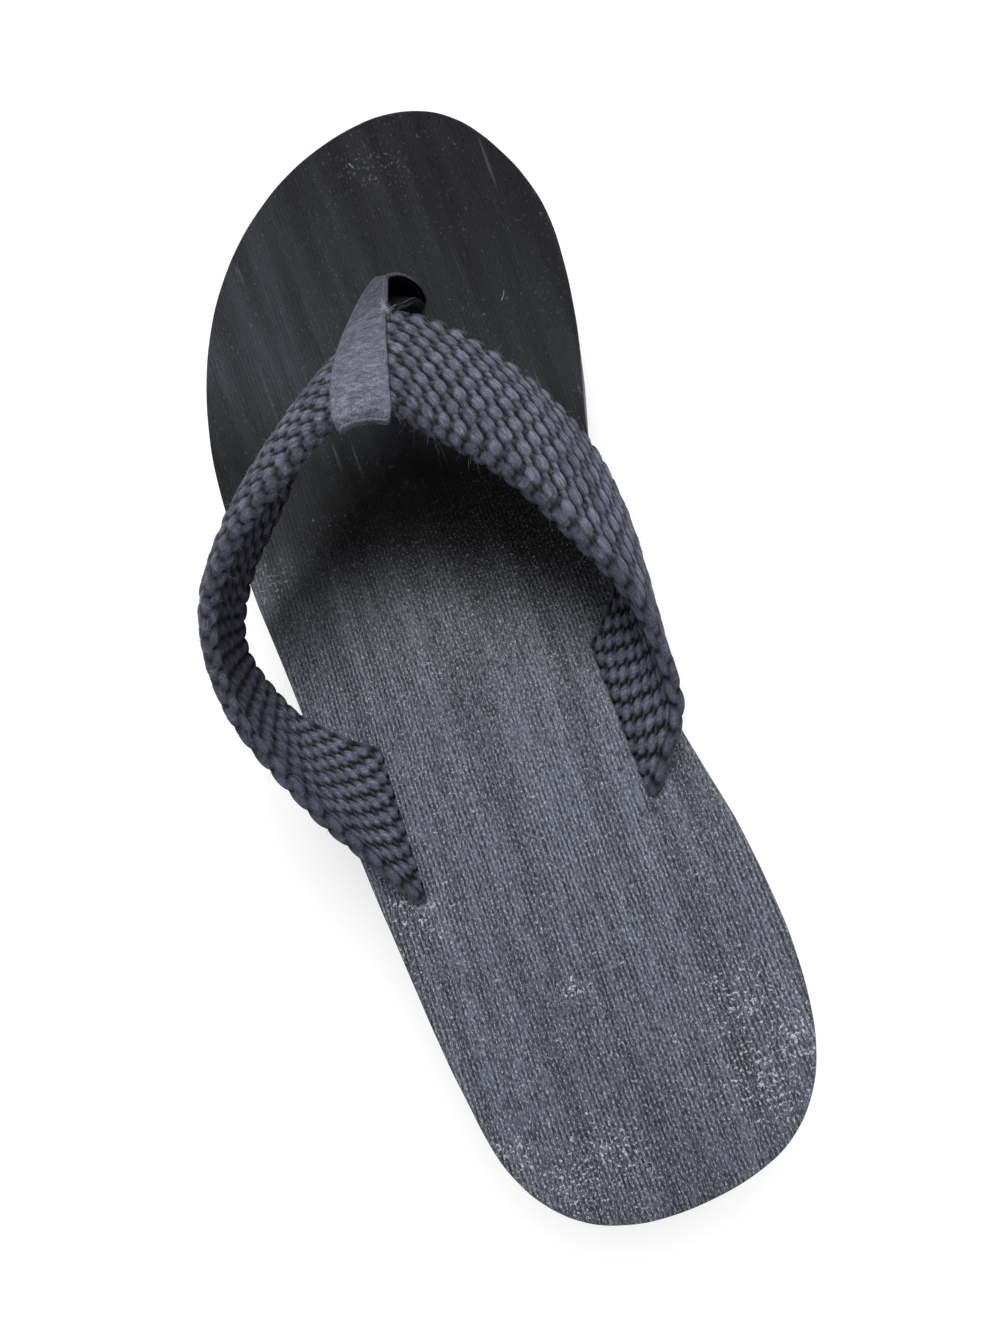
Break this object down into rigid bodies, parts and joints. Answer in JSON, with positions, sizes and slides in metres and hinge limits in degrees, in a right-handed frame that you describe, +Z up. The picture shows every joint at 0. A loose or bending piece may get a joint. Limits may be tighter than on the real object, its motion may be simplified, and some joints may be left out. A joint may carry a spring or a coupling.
{
  "type": "platform flip-flop",
  "caption": "Platform flip-flop for the left foot: wedge foam sole with ribbed footbed, broad woven webbing strap and a folded tape toe post.",
  "frame": {"origin": "on the floor under the sole, on the shoe's long axis, halfway along the footbed", "axes": "+Y towards the toe, +X towards the inner side of the foot, +Z up from the floor"},
  "size_m": [0.1064, 0.2614, 0.0977],
  "materials": {
    "sole_foam": "satin foam rubber, scuffed",
    "footbed_foam": "matt foam with fine lengthwise ribs",
    "webbing": "chunky basket weave",
    "grosgrain": "fine ribbed tape"
  },
  "bodies": {
    "root": {"sole": "sole_foam", "footbed": "footbed_foam", "strap": "webbing", "toe_post": "grosgrain"}
  },
  "joints": []
}
